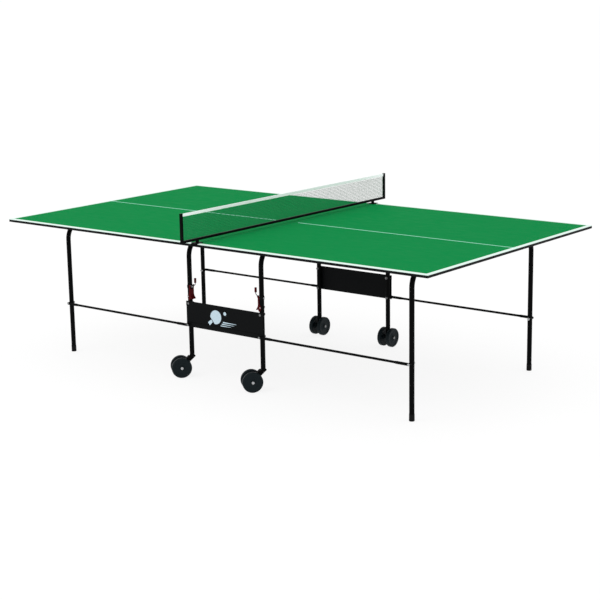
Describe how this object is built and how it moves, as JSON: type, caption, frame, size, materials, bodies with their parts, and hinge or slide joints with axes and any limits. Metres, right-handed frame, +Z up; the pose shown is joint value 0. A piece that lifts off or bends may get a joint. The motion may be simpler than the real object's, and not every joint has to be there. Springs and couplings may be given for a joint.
{
  "type": "folding table tennis table",
  "caption": "Indoor table tennis table: two folding board halves on a wheeled tube carriage, with end legs, stay rods, edge latches and a lift-off net.",
  "frame": {"origin": "on the floor, under the centre of the playing surface", "axes": "+X along the table, +Y across it away from the latches, +Z up"},
  "size_m": [2.74, 1.718, 0.9215],
  "materials": {
    "green_surface": "smooth painted board, satin",
    "black_edge": "powder coat, satin",
    "black_frame": "powder coat, semi-gloss",
    "black_panel": "powder coat, semi-gloss",
    "black_plastic": "moulded, fine grain",
    "wheel_plastic": "moulded, satin",
    "red_plastic": "moulded, satin",
    "zinc_steel": "zinc plated",
    "spring_steel": "oiled spring wire",
    "net_cord": "knotted mesh",
    "net_band": "woven tape"
  },
  "bodies": {
    "carriage": {"carriage_frame_left": "black_frame", "carriage_frame_right": "black_frame", "side_panel_near": "black_panel", "side_panel_far": "black_panel", "panel_bolts": "zinc_steel", "stay_pivot_bolts": "zinc_steel", "stay_pivot_spacers": "black_plastic", "castor_sockets": "black_plastic", "rear_axles": "zinc_steel", "rear_axle_spacers": "black_plastic", "rear_end_plugs": "black_plastic", "latch_brackets": "black_panel", "latch_fasteners": "zinc_steel", "latch_springs": "spring_steel"},
    "half_left": {"board_left": "green_surface", "edge_trim_left": "black_edge", "saddle_straps_left": "black_frame", "saddle_pads_left": "black_plastic", "saddle_screws_left": "zinc_steel"},
    "leg_left": {"end_leg_left": "black_frame", "leg_feet_left": "black_plastic", "leg_bolts_left": "zinc_steel", "leg_spacers_left": "black_plastic"},
    "latch_left": {"latch_lever_left": "red_plastic", "latch_hook_left": "spring_steel", "latch_tip_left": "red_plastic"},
    "castor_left": {"castor_arm_left": "black_frame", "castor_axle_left": "zinc_steel"},
    "stay_left_near": {"stay_rod_left_near": "black_frame"},
    "stay_left_far": {"stay_rod_left_far": "black_frame"},
    "castor_wheel_left_front": {"castor_wheel_left_front": "wheel_plastic"},
    "castor_wheel_left_back": {"castor_wheel_left_back": "wheel_plastic"},
    "rear_wheel_left_outer": {"rear_wheel_left_outer": "wheel_plastic"},
    "rear_wheel_left_inner": {"rear_wheel_left_inner": "wheel_plastic"},
    "half_right": {"board_right": "green_surface", "edge_trim_right": "black_edge", "saddle_straps_right": "black_frame", "saddle_pads_right": "black_plastic", "saddle_screws_right": "zinc_steel"},
    "leg_right": {"end_leg_right": "black_frame", "leg_feet_right": "black_plastic", "leg_bolts_right": "zinc_steel", "leg_spacers_right": "black_plastic"},
    "latch_right": {"latch_lever_right": "red_plastic", "latch_hook_right": "spring_steel", "latch_tip_right": "red_plastic"},
    "castor_right": {"castor_arm_right": "black_frame", "castor_axle_right": "zinc_steel"},
    "stay_right_near": {"stay_rod_right_near": "black_frame"},
    "stay_right_far": {"stay_rod_right_far": "black_frame"},
    "castor_wheel_right_front": {"castor_wheel_right_front": "wheel_plastic"},
    "castor_wheel_right_back": {"castor_wheel_right_back": "wheel_plastic"},
    "rear_wheel_right_outer": {"rear_wheel_right_outer": "wheel_plastic"},
    "rear_wheel_right_inner": {"rear_wheel_right_inner": "wheel_plastic"},
    "net": {"net_bar": "black_frame", "net_posts": "black_frame", "net_caps": "black_plastic", "net_mesh": "net_cord", "net_tape": "net_band", "net_feet": "black_frame"}
  },
  "joints": [
    {"name": "fold_left", "type": "hinge", "parent": "carriage", "child": "half_left", "pos_m": [-0.241, 0, 0.7295], "axis": [0, 1, 0], "range_deg": [0, 90], "deforming": ["latch_hook_left", "latch_tip_left"]},
    {"name": "leg_swing_left", "type": "hinge", "parent": "half_left", "child": "leg_left", "pos_m": [-1.14, 0, 0.7295], "axis": [0, 1, 0], "range_deg": [-90, 0]},
    {"name": "stay_swing_left_near", "type": "hinge", "parent": "carriage", "child": "stay_left_near", "pos_m": [-0.241, -0.571, 0.278], "axis": [0, 1, 0], "range_deg": [0, 90]},
    {"name": "stay_swing_left_far", "type": "hinge", "parent": "carriage", "child": "stay_left_far", "pos_m": [-0.241, 0.571, 0.278], "axis": [0, 1, 0], "range_deg": [0, 90]},
    {"name": "latch_release_left", "type": "hinge", "parent": "carriage", "child": "latch_left", "pos_m": [-0.241, -0.546, 0.428], "axis": [0, 1, 0], "range_deg": [0, 20], "stiffness_Nm_per_rad": 0.3, "springref_deg": -8.59},
    {"name": "castor_swivel_left", "type": "hinge", "parent": "carriage", "child": "castor_left", "pos_m": [-0.241, -0.546, 0.13], "axis": [0, 0, 1], "continuous": true},
    {"name": "castor_roll_left_front", "type": "hinge", "parent": "castor_left", "child": "castor_wheel_left_front", "pos_m": [-0.27994, -0.59032, 0.053], "axis": [0.7513, -0.66, 0], "continuous": true},
    {"name": "castor_roll_left_back", "type": "hinge", "parent": "castor_left", "child": "castor_wheel_left_back", "pos_m": [-0.27994, -0.59032, 0.053], "axis": [0.7513, -0.66, 0], "continuous": true},
    {"name": "rear_roll_left_outer", "type": "hinge", "parent": "carriage", "child": "rear_wheel_left_outer", "pos_m": [-0.241, 0.546, 0.053], "axis": [1, 0, 0], "continuous": true},
    {"name": "rear_roll_left_inner", "type": "hinge", "parent": "carriage", "child": "rear_wheel_left_inner", "pos_m": [-0.241, 0.546, 0.053], "axis": [1, 0, 0], "continuous": true},
    {"name": "fold_right", "type": "hinge", "parent": "carriage", "child": "half_right", "pos_m": [0.241, 0, 0.7295], "axis": [0, -1, 0], "range_deg": [0, 90], "deforming": ["latch_hook_right", "latch_tip_right"]},
    {"name": "leg_swing_right", "type": "hinge", "parent": "half_right", "child": "leg_right", "pos_m": [1.14, 0, 0.7295], "axis": [0, -1, 0], "range_deg": [-90, 0]},
    {"name": "stay_swing_right_near", "type": "hinge", "parent": "carriage", "child": "stay_right_near", "pos_m": [0.241, -0.571, 0.278], "axis": [0, -1, 0], "range_deg": [0, 90]},
    {"name": "stay_swing_right_far", "type": "hinge", "parent": "carriage", "child": "stay_right_far", "pos_m": [0.241, 0.571, 0.278], "axis": [0, -1, 0], "range_deg": [0, 90]},
    {"name": "latch_release_right", "type": "hinge", "parent": "carriage", "child": "latch_right", "pos_m": [0.241, -0.546, 0.428], "axis": [0, -1, 0], "range_deg": [0, 20], "stiffness_Nm_per_rad": 0.3, "springref_deg": -8.59},
    {"name": "castor_swivel_right", "type": "hinge", "parent": "carriage", "child": "castor_right", "pos_m": [0.241, -0.546, 0.13], "axis": [0, 0, 1], "continuous": true},
    {"name": "castor_roll_right_front", "type": "hinge", "parent": "castor_right", "child": "castor_wheel_right_front", "pos_m": [0.20206, -0.59032, 0.053], "axis": [0.7513, -0.66, 0], "continuous": true},
    {"name": "castor_roll_right_back", "type": "hinge", "parent": "castor_right", "child": "castor_wheel_right_back", "pos_m": [0.20206, -0.59032, 0.053], "axis": [0.7513, -0.66, 0], "continuous": true},
    {"name": "rear_roll_right_outer", "type": "hinge", "parent": "carriage", "child": "rear_wheel_right_outer", "pos_m": [0.241, 0.546, 0.053], "axis": [1, 0, 0], "continuous": true},
    {"name": "rear_roll_right_inner", "type": "hinge", "parent": "carriage", "child": "rear_wheel_right_inner", "pos_m": [0.241, 0.546, 0.053], "axis": [1, 0, 0], "continuous": true},
    {"name": "net_lift_off", "type": "slide", "parent": "carriage", "child": "net", "axis": [0, 0, 1], "range_m": [0, 0.2]}
  ],
  "couplings": [
    {"joint": "leg_swing_left", "follows": "fold_left", "ratio": -1},
    {"joint": "stay_swing_left_near", "follows": "fold_left", "ratio": 1},
    {"joint": "stay_swing_left_far", "follows": "fold_left", "ratio": 1},
    {"joint": "leg_swing_right", "follows": "fold_right", "ratio": -1},
    {"joint": "stay_swing_right_near", "follows": "fold_right", "ratio": 1},
    {"joint": "stay_swing_right_far", "follows": "fold_right", "ratio": 1}
  ]
}
